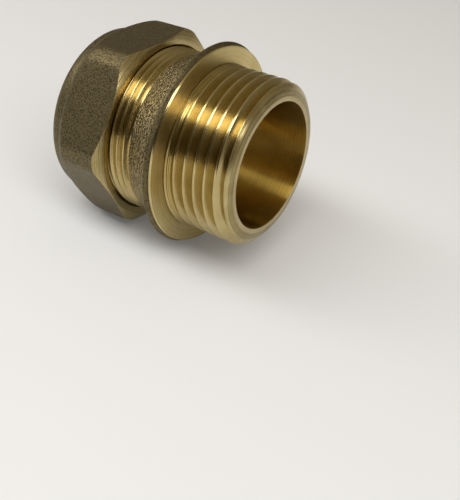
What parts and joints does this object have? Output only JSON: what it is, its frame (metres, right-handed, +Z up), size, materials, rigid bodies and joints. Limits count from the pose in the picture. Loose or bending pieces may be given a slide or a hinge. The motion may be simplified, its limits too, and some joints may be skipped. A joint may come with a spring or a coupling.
{
  "type": "compression coupling",
  "caption": "Brass compression coupling with a male pipe thread, a thin flange and a hexagonal nut over an olive that grips a plain pipe.",
  "frame": {"origin": "on the fitting's axis, midway between the male end face and the back of the nut", "axes": "+X along the axis, towards the male end; +Z up, square to a flat of the nut"},
  "size_m": [0.0336, 0.0332, 0.033],
  "materials": {
    "turned_brass": "bright turned, with fine tool grooves round the axis",
    "olive_brass": "smooth turned",
    "forged_brass": "dull forged and shot blasted, finely pitted"
  },
  "bodies": {
    "body": {"coupling_body": "turned_brass"},
    "olive": {"compression_olive": "olive_brass"},
    "nut": {"compression_nut": "forged_brass"}
  },
  "joints": [
    {"name": "olive_travel", "type": "slide", "parent": "body", "child": "olive", "axis": [-1, 0, 0], "range_m": [0, 0.0055]},
    {"name": "nut_turn", "type": "hinge", "parent": "olive", "child": "nut", "pos_m": [0, 0, 0], "axis": [-1, 0, 0], "range_deg": [0, 1530]}
  ],
  "couplings": [
    {"joint": "olive_travel", "follows": "nut_turn", "m_per_rad": 0.00020213}
  ]
}
